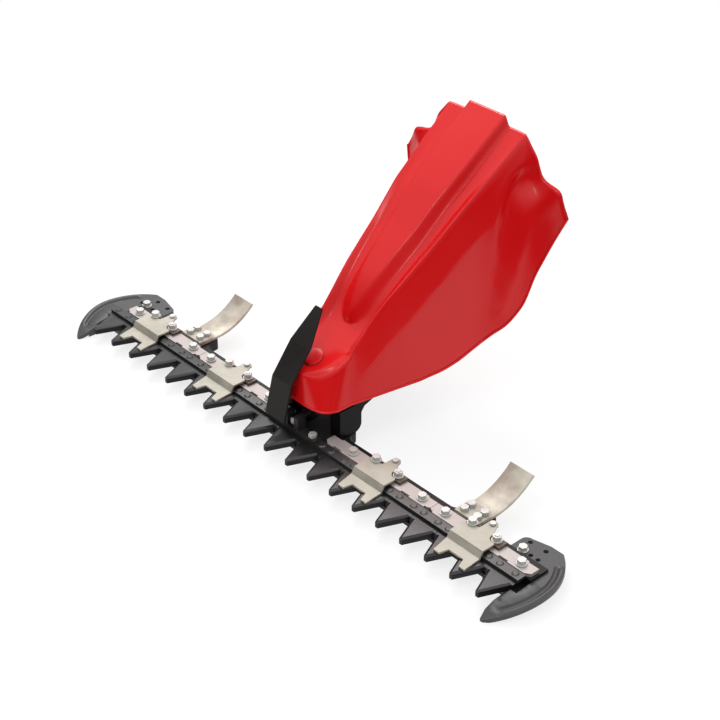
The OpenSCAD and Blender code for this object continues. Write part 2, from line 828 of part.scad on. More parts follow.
// driver bracket on the knife back, the drive pin works between its cheeks
module knife_head() {
  cheek_in = pin_d / 2 + pin_play;
  color([0.1, 0.1, 0.105]) placed() difference() {
    union() {
      box(-head_half, head_half, back_front, back_rear, back_top, back_top + head_base);
      for (s = [-1, 1]) scale([s, 1, 1])
        box(cheek_in, cheek_in + cheek_t, back_front, back_rear, back_top, back_top + cheek_h);
    }
    for (s = [-1, 1]) drill(s * head_bolt_x, rivet_y, bolt_hole_d, back_top - 1, back_top + head_base + 1);
  }
}

module knife_head_bolts() {
  top = back_top + head_base;
  color([0.75, 0.75, 0.72]) placed() for (s = [-1, 1]) translate([s * head_bolt_x, rivet_y, top])
    bolt(top - section_z);
}

// side view of a leg of the housing, rounded at the heel
module leg_side() {
  depth = leg_rear - leg_front;
  height = bridge_top - deck_z;
  translate([leg_front, deck_z]) square([depth - leg_heel_r, height]);
  translate([leg_front, deck_z + leg_heel_r]) square([depth, height - leg_heel_r]);
  translate([leg_rear - leg_heel_r, deck_z + leg_heel_r]) circle(r = leg_heel_r);
}

// casting under the hood: legs, bridge, rocker tube and crank case
module drive_housing() {
  color([0.03, 0.03, 0.032]) placed() difference() {
    union() {
      for (s = [-1, 1]) scale([s, 1, 1]) along_x(leg_in, leg_out) leg_side();
      along_x(-leg_out, leg_out) polygon([[house_y, bridge_top - bridge_h],
        [leg_rear, bridge_top - bridge_h], [leg_rear + bridge_reach / 4, bridge_top - bridge_h / 2],
        [leg_rear + bridge_reach, bridge_top - 2], [leg_rear + bridge_reach, bridge_top],
        [house_y, bridge_top]]);
      box(-tube_r + 4, tube_r - 4, house_y, case_y0 + 1, bridge_top - 4, rocker_z);
      rod_y(2 * tube_r, house_y, case_y0 + 1, rocker_z);
      rod_y(2 * case_r, case_y0, case_y1, case_z);
      for (a = [45 : 90 : 315]) rod_y(14, case_y1 - 16, case_y1,
        case_z + cover_screw_r * sin(a), cover_screw_r * cos(a));
    }
    rod_y(2 * bush_r + 2 * run_gap, house_y - 1, case_y0 + case_wall + 1, rocker_z);
    rod_y(2 * case_in, case_y0 + case_wall, case_y1 + 1, case_z);
    for (a = [45 : 90 : 315]) rod_y(cover_screw_d + 2 * hole_gap, case_y1 - 14, case_y1 + 1,
      case_z + cover_screw_r * sin(a), cover_screw_r * cos(a));
    housing_bolt_places() drill(0, 0, bolt_hole_d, deck_z - 1, deck_z + 20);
    rod_y(bolt_hole_d, leg_front - 1, leg_front + 20, guard_bolt_z, -housing_bolt_x);
  }
}

module housing_bolts() {
  color([0.6, 0.6, 0.58]) placed() housing_bolt_places()
    translate([0, 0, bar_z + bolt_head]) rotate([180, 0, 0]) bolt(deck_z - bar_z + 2 * bolt_d);
}

// lid with bearing neck and hitch flange
module rear_cover() {
  color([0.045, 0.045, 0.048]) placed() difference() {
    union() {
      rod_y(2 * case_r, case_y1, case_y1 + lid_t, case_z);
      for (a = [45 : 90 : 315]) rod_y(14, case_y1, case_y1 + lid_t,
        case_z + cover_screw_r * sin(a), cover_screw_r * cos(a));
      rod_y(2 * neck_r, case_y1, neck_y1 + 1, crank_z);
      rod_y(hitch_d, neck_y1, hitch_y, crank_z);
    }
    rod_y(bearing_d + 2 * run_gap, case_y1 - 1, neck_y1 - 2, crank_z);
    rod_y(seal_d + 2 * run_gap, case_y1 - 1, hitch_y + 1, crank_z);
    for (a = [45 : 90 : 315]) {
      rod_y(cover_screw_d + 2 * hole_gap, case_y1 - 1, case_y1 + lid_t + 1,
        case_z + cover_screw_r * sin(a), cover_screw_r * cos(a));
      rod_y(hitch_hole_d, neck_y1 - 1, hitch_y + 1,
        crank_z + hitch_circle_d / 2 * sin(a), hitch_circle_d / 2 * cos(a));
    }
  }
}

module cover_screws() {
  color([0.7, 0.7, 0.68]) placed() for (a = [45 : 90 : 315])
    translate([cover_screw_r * cos(a), case_y1 + lid_t, case_z + cover_screw_r * sin(a)])
      rotate([-90, 0, 0]) bolt(lid_t + 2 * cover_screw_d, d = cover_screw_d);
}

module front_bush() {
  color([0.6, 0.45, 0.2]) placed() tube_y(2 * bush_r, rocker_d + 2 * run_gap,
    house_y, house_y + bush_len, rocker_z);
}

module rear_bush() {
  color([0.6, 0.45, 0.2]) placed() tube_y(2 * bush_r, rocker_d + 2 * run_gap,
    case_y0 + case_wall - bush_len, case_y0 + case_wall, rocker_z);
}

stub_d = 12;
lever_nut_t = 7;
lever_nut_af = 18;

// shaft that joins lever and fork
module rocker_shaft() {
  color([0.6, 0.6, 0.62]) placed() {
    rod_y(rocker_d, lever_y0, fork_y1, rocker_z);
    rod_y(stub_d, lever_y0 - lever_nut_t - 1, lever_y0 + 1, rocker_z);
  }
}

// arm down to the knife head
module rocker_lever() {
  hub_r = rocker_d / 2 + 4;
  eye_r = pin_d / 2 + 4.5;
  color([0.16, 0.16, 0.165]) placed() along_y(lever_y0, lever_y1) difference() {
    union() {
      translate([0, rocker_z]) circle(r = hub_r);
      translate([0, pin_z]) circle(r = eye_r);
      polygon([[-hub_r + 3, rocker_z], [-eye_r + 1.5, pin_z], [eye_r - 1.5, pin_z], [hub_r - 3, rocker_z]]);
    }
    translate([0, rocker_z]) circle(d = rocker_d + 2 * run_gap);
    translate([0, pin_z]) circle(d = pin_d + 2 * run_gap);
  }
}

module lever_nut() {
  color([0.7, 0.7, 0.68]) placed() difference() {
    translate([0, lever_y0, rocker_z]) rotate([90, 0, 0]) hex(lever_nut_af, lever_nut_t);
    rod_y(stub_d + 2 * hole_gap, 0, lever_y0 + 1, rocker_z);
  }
}

// pin from the lever into the knife head
module drive_pin() {
  color([0.62, 0.62, 0.64]) placed() rod_y(pin_d, back_front + 3, lever_y1, pin_z);
}

// forked arm up to the crank roller
module rocker_fork() {
  hub_r = rocker_d / 2 + 5;
  slot_half = roller_d / 2 + 0.6;
  slot_low = crank_rise - throw - roller_d / 2 - 0.4;
  color([0.2, 0.2, 0.205]) placed() along_y(fork_y0, fork_y1) difference() {
    union() {
      translate([0, rocker_z]) circle(r = hub_r);
      translate([-fork_half, rocker_z]) square([2 * fork_half, fork_tip]);
    }
    translate([0, rocker_z]) circle(d = rocker_d + 2 * run_gap);
    translate([-slot_half, rocker_z + slot_low]) square([2 * slot_half, fork_tip]);
  }
}

// input shaft with crank disc and pin
module crank_shaft() {
  color([0.62, 0.62, 0.64]) placed() {
    rod_y(2 * disc_r, disc_y0, disc_y0 + disc_t, crank_z);
    rod_y(crank_pin_d, roller_y0, disc_y0 + 1, crank_z - throw);
    rod_y(crank_d, disc_y0 + 1, hitch_y + 4 + coupling_len, crank_z);
  }
}

module crank_roller() {
  color([0.7, 0.7, 0.72]) placed() difference() {
    rod_y(roller_d, roller_y0, roller_y0 + roller_len, crank_z - throw);
    rod_y(crank_pin_d + 2 * run_gap, roller_y0 - 1, roller_y0 + roller_len + 1, crank_z - throw);
  }
}

bearing_y0 = case_y1 + 1;

module front_bearing() {
  color([0.66, 0.66, 0.68]) placed() tube_y(bearing_d, crank_d + 2 * run_gap,
    bearing_y0, bearing_y0 + bearing_w, crank_z);
}

module rear_bearing() {
  color([0.66, 0.66, 0.68]) placed() tube_y(bearing_d, crank_d + 2 * run_gap,
    neck_y1 - 2 - bearing_w, neck_y1 - 2, crank_z);
}

module shaft_seal() {
  color([0.05, 0.05, 0.05]) placed() tube_y(seal_d, crank_d + 2 * run_gap, hitch_y - 8, hitch_y, crank_z);
}

// driven half of the dog clutch towards the power unit
module input_coupling() {
  slot_w = 12;
  slot_depth = 10;
  y0 = hitch_y + 2;
  y1 = y0 + coupling_len + 10;
  color([0.5, 0.5, 0.52]) placed() difference() {
    rod_y(coupling_d, y0, y1, crank_z);
    rod_y(crank_d + 2 * run_gap, y0 - 1, y1 + 1, crank_z);
    box(-coupling_d, coupling_d, y1 - slot_depth, y1 + 1, crank_z - slot_w / 2, crank_z + slot_w / 2);
  }
}

// nose guard strip, side line from its foot to its tip
guard_line = [[-6.6, 41.5], [6.5, 93], [34.8, 137.5], [67, 179.5]];
guard_left = [-34.5, -34, -30, -18];
guard_tip_w = 12;
guard_shift = [0.86 * guard_t, -0.53 * guard_t];
guard_bolt_z = 57;
guard_arm_t = 4;
arm_x0 = -33;
arm_x1 = -29;

module nose_guard() {
  last = len(guard_line) - 1;
  color([0.08, 0.08, 0.08]) placed() intersection() {
    along_x(-80, 80) polygon(concat(guard_line, [for (i = [last : -1 : 0]) guard_line[i] + guard_shift]));
    along_y(-40, 120) polygon(concat(
      [[guard_left[0], guard_line[0][1] - 10]],
      [for (i = [0 : last]) [guard_left[i], guard_line[i][1]]],
      [for (i = [last : -1 : 0]) [guard_left[i] + (i == last ? guard_tip_w : guard_w), guard_line[i][1]]],
      [[guard_left[0] + guard_w, guard_line[0][1] - 10]]));
  }
}

// bracket from the left leg of the housing to the back of the nose guard
module guard_bracket() {
  z0 = 51;
  z1 = 63;
  t = guard_arm_t;
  rise = (guard_line[1][0] - guard_line[0][0]) / (guard_line[1][1] - guard_line[0][1]);
  back0 = guard_line[0][0] + (z0 - guard_line[0][1]) * rise + guard_t * 1.03 + 0.1;
  back1 = back0 + (z1 - z0) * rise;
  color([0.09, 0.09, 0.09]) placed() difference() {
    union() {
      along_x(arm_x0, guard_left[0] + guard_w - 6)
        polygon([[back0, z0], [back1, z1], [back1 + t, z1], [back0 + t, z0]]);
      along_x(arm_x0, arm_x1) polygon([[back0 + 1, z0], [back1 + 1, z1], [leg_front, z1], [leg_front, z0]]);
      box(-leg_out + 1, arm_x1, leg_front - t, leg_front, z0, z1);
    }
    rod_y(bolt_hole_d, leg_front - t - 1, leg_front + 1, guard_bolt_z, -housing_bolt_x);
  }
}

module guard_bolts() {
  color([0.5, 0.5, 0.5]) placed() translate([-housing_bolt_x, leg_front - guard_arm_t, guard_bolt_z])
    rotate([90, 0, 0]) bolt(3 * bolt_d);
}

// hood lines: half widths and heights along y
rim_plan = [[60, 56.5], [100, 63], [162, 74], [225, 84], [255, 89], [270, 97], [285, 109], [300, 118],
  [318, 124], [337, 131], [348, 147]];
rim_rise = [[60, 0], [165, 0], [200, 3], [225, 9.5], [255, 23], [281, 45], [298, 68], [312, 93],
  [318, 116], [337, 156], [348, 199]];
edge_plan = [[70, 44], [103, 45], [148, 51], [200, 56], [244, 62.5], [303, 66], [348, 69]];
edge_z = [[70, 126], [85, 139], [103, 151], [148, 199], [200, 243], [244, 283], [303, 327], [348, 357]];
crest_plan = [[112, 2], [118, 9], [130, 15], [170, 22], [267, 30], [348, 34]];
crest_z = [[60, 124], [105, 144], [116, 150], [124, 166], [130, 177], [150, 203], [170, 226], [200, 255],
  [267, 314], [348, 371]];
valley_drop = [[70, 0], [90, 4], [105, 8], [130, 10], [170, 8], [267, 3], [348, -1]];
flank_dip = [[250, 0], [285, 5], [320, 9], [348, 10]];
platform_tan = 0.449;
plug_z = 118.5;
edge_cy = 70;
edge_a = 44;
edge_b = 48;
rim_cy = 60;
nose_lines = 9;
hood_rear = 348;
rear_stations = [hood_rear, 340, 330, 318, 306, 295, 284, 272, 260, 245, 225, 200, 180, 165, 150,
  140, 130, 122, 116, 110, 103, 94, 85, 78];
pole_y = 66;

function platform_z(y) = plug_z + platform_tan * (y - plug_y);
function rim_at(y) = [lookup(y, rim_plan), y, rim_z + lookup(y, rim_rise)];
function mix(a, b, t) = a + (b - a) * t;

// half section of the hood at y, from the rim up to the crest
function side_line(y) =
  let (r = rim_at(y), e = [lookup(y, edge_plan), y, lookup(y, edge_z)], dip = lookup(y, flank_dip),
    across = [e[2] - r[2], 0, r[0] - e[0]] / norm(e - r),
    root_t = mix(0.06, 0.5, min(1, max(0, (y - 262) / 86))), crown_t = root_t * 0.45,
    cw = lookup(y, crest_plan), cz = lookup(y, crest_z), vz = e[2] - lookup(y, valley_drop),
    ridge = min(1, max(0, (y - 112) / 18)), vw = mix(min(cw + 14, e[0] - 14), min(cw + 15, e[0] - 12), ridge),
    low = mix(platform_z(y), vz, min(1, max(0, (y - 78) / 22))))
  [r, mix(r, e, crown_t) + across * dip, mix(r, e, root_t) - across * dip,
    mix(r, e, mix(root_t, 1, 0.55)), mix(r, e, 0.94), [e[0] - 1.5, y, e[2] + 0.3],
    [e[0] - 6, y, mix(e[2], low, 0.35) + 0.5], [vw, y, low],
    [mix(cw + 4, cw + 3, ridge), y, mix(low, cz, 0.35 * ridge)], [cw, y, mix(low, cz, 0.9)],
    [cw * 0.55, y, cz], [0, y, cz]];

// line of the nose from the rim to the platform at angle a from the front
function nose_line(a) =
  let (q = 0.5, sx = pow(sin(a), q), cx = pow(cos(a), q),
    r = [56.5 * sx, rim_cy - (rim_cy - nose_y) * cx, rim_z],
    ey = edge_cy - edge_b * cos(a), e = [edge_a * sin(a), ey, platform_z(ey) - 5 * sin(2 * a)],
    p = [0, pole_y, platform_z(pole_y)], flat = [e[0], ey, platform_z(ey)])
  [r, mix(r, e, 0.2), mix(r, e, 0.4), mix(r, e, 0.65), mix(r, e, 0.9), mix(e, p, 0.03),
    mix(mix(e, flat, 0.6), p, 0.14), mix(flat, p, 0.3), mix(flat, p, 0.46), mix(flat, p, 0.62),
    mix(flat, p, 0.8), p];

half_lines = concat([for (y = rear_stations) side_line(y)],
  [for (k = [nose_lines : -1 : 0]) nose_line(90 * k / nose_lines)]);
half_count = len(half_lines);
side_count = len(rear_stations);
rows = len(half_lines[0]) - 1;

// lines from the rear right corner round the nose to the rear left corner
hood_lines = concat(half_lines, [for (k = [half_count - 2 : -1 : 0])
  [for (p = half_lines[k]) [-p[0], p[1], p[2]]]]);
line_count = len(hood_lines);

function spine_of(u) = u < side_count ? u : (u >= line_count - side_count ? line_count - 1 - u : side_count);

// inward direction of the hood skin at line u and row v
function skin_in(u, v) =
  let (du = hood_lines[min(u + 1, line_count - 1)][v] - hood_lines[max(u - 1, 0)][v],
    dv = hood_lines[u][min(v + 1, rows)] - hood_lines[u][max(v - 1, 0)], n = cross(du, dv))
  n / norm(n);
function spine_in(u) =
  let (a = hood_lines[max(u - 1, 0)][rows], b = hood_lines[min(u + 1, side_count)][rows],
    d = (a - b) / norm(a - b))
  [0, d[2], -d[1]];
function trimmed(p) = [p[0], min(p[1], hood_rear), p[2]];

skin_out = concat([for (u = [0 : line_count - 1]) for (v = [0 : rows - 1]) hood_lines[u][v]],
  [for (u = [0 : side_count]) hood_lines[u][rows]]);
skin_inner = concat(
  [for (u = [0 : line_count - 1]) for (v = [0 : rows - 1])
    trimmed(hood_lines[u][v] + hood_t * skin_in(u, v))],
  [for (u = [0 : side_count]) trimmed(hood_lines[u][rows] + hood_t * spine_in(u))]);
skin_size = len(skin_out);

function cell(u, v) = v < rows ? u * rows + v : line_count * rows + spine_of(u);
function quad(a, b, c, d) = concat(a == b ? [] : [[a, b, c]], c == d ? [] : [[a, c, d]]);

skin_faces = [for (u = [0 : line_count - 2]) for (v = [0 : rows - 1])
  for (f = v == rows - 1 && spine_of(u) == spine_of(u + 1) ? [[cell(u, v), cell(u + 1, v), cell(u, rows)]]
    : quad(cell(u, v), cell(u + 1, v), cell(u + 1, v + 1), cell(u, v + 1))) f];
rear_edge = concat([for (v = [0 : rows]) cell(0, v)],
  [for (v = [rows - 1 : -1 : 0]) cell(line_count - 1, v)]);
rim_edge = [for (u = [line_count - 1 : -1 : 0]) cell(u, 0)];

function strip(e) = [for (k = [0 : len(e) - 2]) for (f = [[e[k], e[k + 1], e[k + 1] + skin_size],
  [e[k], e[k + 1] + skin_size, e[k] + skin_size]]) f];

// thin moulded shell
module hood() {
  color([0.75, 0.04, 0.04]) placed() difference() {
    polyhedron(points = concat(skin_out, skin_inner), faces = concat(
      [for (f = skin_faces) f],
      [for (f = skin_faces) [f[2] + skin_size, f[1] + skin_size, f[0] + skin_size]],
      [for (f = strip(rear_edge)) f],
      [for (f = strip(rim_edge)) f]));
    on_platform() translate([0, 0, -10]) cylinder(d = hood_screw_d + 1, h = 20);
  }
}

hood_screw_d = 6;
platform_angle = atan(platform_tan);

// places children on the platform at the plug, z along its normal
module on_platform() {
  translate([0, plug_y, plug_z]) rotate([platform_angle, 0, 0]) children();
}

// round cap over the hood screw
module hood_plug() {
  plug_h = 3.6;
  color([0.72, 0.05, 0.05]) placed() on_platform() difference() {
    translate([0, 0, 0.1]) cylinder(d = plug_d, h = plug_h);
    translate([0, 0, -1]) cylinder(d = 2 * hood_screw_d + 3, h = plug_h);
  }
}

module hood_screw() {
  color([0.6, 0.6, 0.6]) placed() on_platform() {
    translate([0, 0, 0.1]) cylinder(d = 2 * hood_screw_d, h = 2);
    translate([0, 0, -hood_t - stay_t - seat_gap]) cylinder(d = hood_screw_d, h = hood_t + stay_t + 0.5);
  }
}

stay_t = 3;

// plate under the platform on a post from the rocker tube
module front_hood_stay() {
  post_y0 = plug_y + 12;
  post_y1 = plug_y + 22;
  post_half = 10;
  plate_half = 13;
  under = -hood_t - seat_gap;
  color([0.15, 0.15, 0.15]) placed() difference() {
    union() {
      on_platform() box(-plate_half, plate_half, -plate_half / 2, 2 * plate_half, under - stay_t, under);
      intersection() {
        box(-post_half, post_half, post_y0, post_y1, rocker_z, platform_z(post_y1));
        on_platform() box(-2 * post_half, 2 * post_half, 0, 4 * post_half, -rocker_z, under - stay_t / 2);
      }
    }
    rod_y(2 * tube_r, post_y0 - 5, post_y1 + 5, rocker_z);
    on_platform() translate([0, 0, -20]) cylinder(d = hood_screw_d + 2 * hole_gap, h = 20);
  }
}

stay_y = 166;
pad_t = 5;
pad_half = 9;
stay_half = 5;
crest_rise = lookup(stay_y + pad_half, crest_z) - lookup(stay_y - pad_half, crest_z);
crest_angle = atan2(crest_rise, 2 * pad_half);

// places children under the crest of the hood, z along its normal
module under_crest() {
  translate([0, stay_y, lookup(stay_y, crest_z)]) rotate([crest_angle, 0, 0])
    translate([0, 0, -hood_t - 1]) children();
}

// post from the crank case up to the crest
module rear_hood_stay() {
  color([0.15, 0.15, 0.15]) placed() difference() {
    intersection() {
      box(-pad_half, pad_half, stay_y - stay_half, stay_y + stay_half, case_z, lookup(stay_y, crest_z));
      under_crest() box(-case_r, case_r, -case_z, case_z, -2 * case_z, -pad_t);
    }
    rod_y(2 * case_r, case_y0 - 5, case_y1 + 5, case_z);
  }
}

module hood_rest_pad() {
  color([0.04, 0.04, 0.04]) placed() under_crest()
    box(-pad_half, pad_half, -pad_half, pad_half, -pad_t, 0);
}

main_bar();
finger_comb();
comb_screws();
left_outer_plate();
left_inner_plate();
right_inner_plate();
right_outer_plate();
plate_bolts();
plate_washers();
knife_clip_1();
knife_clip_2();
knife_clip_3();
knife_clip_4();
clip_blocks();
clip_bolts();
clip_washers();
clip_studs();
clip_nuts();
tongue_pins();
left_shoe();
right_shoe();
shoe_bolts();
shoe_washers();
left_skid();
right_skid();
left_skid_clamp();
right_skid_clamp();
skid_bolts();
knife_back();
knife_sections();
knife_rivets();
knife_head();
knife_head_bolts();
drive_housing();
housing_bolts();
rear_cover();
cover_screws();
front_bush();
rear_bush();
rocker_shaft();
rocker_lever();
lever_nut();
drive_pin();
rocker_fork();
crank_shaft();
crank_roller();
front_bearing();
rear_bearing();
shaft_seal();
input_coupling();
guard_bracket();
guard_bolts();
nose_guard();
hood();
hood_plug();
hood_screw();
front_hood_stay();
rear_hood_stay();
hood_rest_pad();
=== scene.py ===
import json
import math
import bpy
import bmesh
import numpy as np
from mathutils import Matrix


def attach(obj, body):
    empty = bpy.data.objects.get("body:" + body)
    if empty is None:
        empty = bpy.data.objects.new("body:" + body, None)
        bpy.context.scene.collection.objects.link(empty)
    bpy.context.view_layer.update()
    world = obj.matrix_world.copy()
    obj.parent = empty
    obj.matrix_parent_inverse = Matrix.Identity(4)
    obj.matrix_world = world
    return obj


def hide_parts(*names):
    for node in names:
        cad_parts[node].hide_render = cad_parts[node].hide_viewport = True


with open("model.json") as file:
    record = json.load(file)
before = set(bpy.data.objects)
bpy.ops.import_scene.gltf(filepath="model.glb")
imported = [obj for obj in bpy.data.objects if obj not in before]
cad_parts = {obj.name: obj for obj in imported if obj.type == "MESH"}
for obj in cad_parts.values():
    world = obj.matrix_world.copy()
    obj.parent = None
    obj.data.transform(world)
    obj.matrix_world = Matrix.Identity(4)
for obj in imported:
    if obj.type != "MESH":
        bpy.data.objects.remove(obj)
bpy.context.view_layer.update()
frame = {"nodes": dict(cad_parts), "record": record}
nodes = frame["nodes"]
print("frame loaded:", len(nodes), "nodes")

# lengths below are millimetres from the root of the middle tooth, this shift carries them to the row frame
toRow = np.array((0.0, -148.0, 0.0))
mm = 0.001


# straight blend from a to b
def mix(a, b, t):
    return a + (b - a) * t


# eased step: 3 t squared minus 2 t cubed between 0 and 1
def eased(t):
    t = np.clip(t, 0, 1)
    return t * t * (3 - 2 * t)


# smooth curve along one axis of a grid: cubic through every row, tangent from the two neighbours
def refine(grid, steps, axis):
    g = np.moveaxis(grid, axis, 0)
    ends = np.concatenate([2 * g[:1] - g[1:2], g, 2 * g[-1:] - g[-2:-1]])
    t = np.linspace(0, 1, steps, endpoint=False).reshape((-1,) + (1,) * g.ndim)
    p0, p1, p2, p3 = ends[:-3], ends[1:-2], ends[2:-1], ends[3:]
    square = 2 * p0 - 5 * p1 + 4 * p2 - p3
    cube = 3 * p1 - p0 - 3 * p2 + p3
    cubic = 0.5 * (2 * p1 + (p2 - p0) * t + square * t**2 + cube * t**3)
    fine = np.swapaxes(cubic, 0, 1).reshape((-1,) + g.shape[1:])
    return np.moveaxis(np.concatenate([fine, g[-1:]]), 0, axis)


# quads of a grid with that many rows and columns
def gridFaces(rows, columns):
    i, j = np.meshgrid(np.arange(rows - 1), np.arange(columns - 1), indexing="ij")
    a = (i * columns + j).ravel()
    return np.stack([a, a + 1, a + columns + 1, a + columns], axis=1)


# smooth mesh piece on a body: doubles closer than weld merged, faces turned outwards
def addPiece(name, points, faces, body, weld=0.02):
    mesh = bpy.data.meshes.new(name)
    mesh.from_pydata(((points + toRow) * mm).tolist(), [], faces.tolist())
    work = bmesh.new()
    work.from_mesh(mesh)
    bmesh.ops.remove_doubles(work, verts=work.verts, dist=weld * mm)
    bmesh.ops.dissolve_degenerate(work, edges=work.edges, dist=1e-7)
    bmesh.ops.recalc_face_normals(work, faces=work.faces)
    work.to_mesh(mesh)
    work.free()
    mesh.polygons.foreach_set("use_smooth", np.ones(len(mesh.polygons), bool))
    piece = bpy.data.objects.new(name, mesh)
    bpy.context.collection.objects.link(piece)
    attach(piece, body)
    return piece


# hood: tables along y of half widths, heights and pushes, each row a place and its value
hood = {
    "rimPlan": [(60, 56.5), (100, 63), (162, 74), (225, 84), (255, 89), (270, 97), (285, 109),
                (300, 118), (318, 124), (337, 131), (348, 147)],
    "rimRise": [(60, 0), (165, 0), (200, 3), (225, 9.5), (255, 23), (281, 45), (298, 68),
                (312, 93), (318, 116), (337, 156), (348, 199)],
    "edgePlan": [(70, 43), (82, 42), (100, 41.5), (115, 43), (130, 45.5), (148, 49), (170, 52),
                 (200, 56), (244, 62.5), (303, 67), (348, 69.5)],
    "edgeZ": [(70, 127), (82, 141), (100, 157.5), (115, 173), (130, 187.5), (148, 203), (170, 220.5),
              (200, 244), (244, 282), (303, 325), (348, 357)],
    "ridgeTop": [(104, 0), (112, 2), (120, 5), (135, 10), (150, 14), (172, 18), (200, 22),
                 (240, 27), (270, 30), (348, 31)],
    "ridgeFoot": [(104, 5), (106, 11), (110, 18), (116, 23), (124, 26.5), (135, 28), (160, 30),
                  (200, 33), (263, 37), (348, 40)],
    "ridgeHeight": [(104, 0), (106, 4.5), (109, 8.5), (113, 12), (118, 14.5), (126, 16), (140, 17),
                    (267, 17), (348, 13)],
    "valleyDrop": [(70, 0), (85, 5), (100, 10), (115, 12), (130, 11), (148, 9), (170, 7), (267, 3), (348, -1)],
    "creaseAt": [(70, 0.42), (119, 0.56), (161, 0.63), (196, 0.69), (226, 0.715), (278, 0.73), (348, 0.73)],
    "creaseOut": [(70, 0.5), (100, 3), (160, 5.5), (230, 5.5), (285, 3), (348, 0)],
    "rootAt": [(279, 0.25), (285, 0.42), (294, 0.575), (308, 0.68), (325, 0.72), (338, 0.62), (348, 0.5)],
    "crownAt": [(279, 0.12), (298, 0.3), (312, 0.445), (325, 0.52), (338, 0.42), (348, 0.29)],
    "wingDip": [(268, 0), (285, 4), (300, 7), (320, 9.5), (348, 10)],
    # the wing's steps run along the flank from rim to shoulder, not along y
    "wingLine": [(0, 0), (0.133, 0.31), (0.29, 1), (0.39, 0.06), (0.495, -0.85), (0.6, -0.62),
                 (0.726, -0.05), (1, 0)],
    "wingCrown": 0.29, "wingRoot": 0.495,  # where crown and root stand in wingLine
    "wingSoft": 0.05, "wingTaps": 5, "wingFade": 6,  # the steps are averaged over this reach, less so at the rim
    "stations": [348, 340, 330, 318, 306, 295, 284, 272, 260, 245, 225, 200, 180, 165, 150, 140, 132, 126,
                 121, 117, 113.5, 110.5, 108, 106, 104, 101, 96, 90, 84, 78],
    "rimZ": 68.0, "plugY": 48.0, "plugZ": 118.5, "slope": 0.449, "wall": 3.0,
    "floorFrom": 70, "floorOver": 70, "shoulder": 13.0, "flankEnd": 0.96, "topInset": 1.2,
    "columns": 24, "flankRows": 26, "acrossSteps": 2, "alongSteps": 4, "weld": 0.05,
}


# value of one of the hood's tables, straight between its rows
def curveAt(key, y):
    table = np.array(hood[key], float)
    return np.interp(y, table[:, 0], table[:, 1])


# platform under the plug: a plane that rises along y
def platformZ(y):
    return hood["plugZ"] + hood["slope"] * (y - hood["plugY"])


# top of the hood: valley floor, eased up to the shoulder, plus an eased ridge along the middle
def topZ(x, y):
    ex, ez = curveAt("edgePlan", y), curveAt("edgeZ", y)
    low = mix(platformZ(y), ez - curveAt("valleyDrop", y), eased((y - hood["floorFrom"]) / hood["floorOver"]))
    bank = eased((x - ex + hood["shoulder"]) / hood["shoulder"])
    top, foot = curveAt("ridgeTop", y), curveAt("ridgeFoot", y)
    return mix(low, ez, bank) + curveAt("ridgeHeight", y) * (1 - eased((x - top) / (foot - top)))


# one side line: flank from rim to shoulder, pushed out by a tent at the crease
# and by the wing's table of steps, then the top
def sideLine(y):
    r = np.array((curveAt("rimPlan", y), y, hood["rimZ"] + curveAt("rimRise", y)))
    e = np.array((curveAt("edgePlan", y), y, curveAt("edgeZ", y)))
    across = np.array((e[2] - r[2], 0, r[0] - e[0])) / np.linalg.norm(e - r)
    t = np.linspace(0, hood["flankEnd"], hood["flankRows"])[:, None]
    fold = curveAt("creaseAt", y)
    out = curveAt("creaseOut", y) * np.minimum(t / fold, (1 - t) / (1 - fold))
    along = np.interp(t, [0, curveAt("crownAt", y), curveAt("rootAt", y), 1],
                      [0, hood["wingCrown"], hood["wingRoot"], 1])
    taps = np.linspace(-hood["wingSoft"], hood["wingSoft"], hood["wingTaps"])
    steps = curveAt("wingLine", along + taps * np.minimum(1, hood["wingFade"] * t))
    wing = steps.mean(axis=1, keepdims=True)
    flank = mix(r, e, t) + across * (out + curveAt("wingDip", y) * wing)
    x = (e[0] - hood["topInset"]) * (1 - np.linspace(0, 1, hood["columns"]))
    top = np.stack([x, np.full_like(x, y), topZ(x, y)], axis=1)
    return np.concatenate([flank, top])


# half widths, y at the side and reach to the front of the nose's rim, upper edge and middle line
nose = {
    "lines": 9, "frontY": 16.5, "rimHalf": 56.5, "rimY": 60, "squareness": 0.5,
    "edgeHalf": 44, "edgeY": 70, "edgeReach": 48, "edgeDrop": 5, "middleY": 66, "middleReach": 30,
    "flankEnd": 0.93, "topStart": 0.03, "topBlend": 0.3,
}


# one nose line at an angle from the front: squarish rim, elliptic upper edge, flat platform to the middle line
def noseLine(angle):
    s, c = math.sin(angle), max(0.0, math.cos(angle))
    square = nose["squareness"]
    rimY = nose["rimY"] - (nose["rimY"] - nose["frontY"]) * c**square
    r = np.array((nose["rimHalf"] * s**square, rimY, hood["rimZ"]))
    edgeY = nose["edgeY"] - nose["edgeReach"] * c
    e = np.array((nose["edgeHalf"] * s, edgeY, platformZ(edgeY) - nose["edgeDrop"] * math.sin(2 * angle)))
    middleY = nose["middleY"] - nose["middleReach"] * c
    p = np.array((0, middleY, platformZ(middleY)))
    t = np.linspace(nose["topStart"], 1, hood["columns"])[:, None]
    top = mix(e, p, t)
    top[:, 2] = mix(top[:, 2], platformZ(top[:, 1]), eased(t[:, 0] / nose["topBlend"]))
    flank = mix(r, e, np.linspace(0, nose["flankEnd"], hood["flankRows"])[:, None])
    return np.concatenate([flank, top])


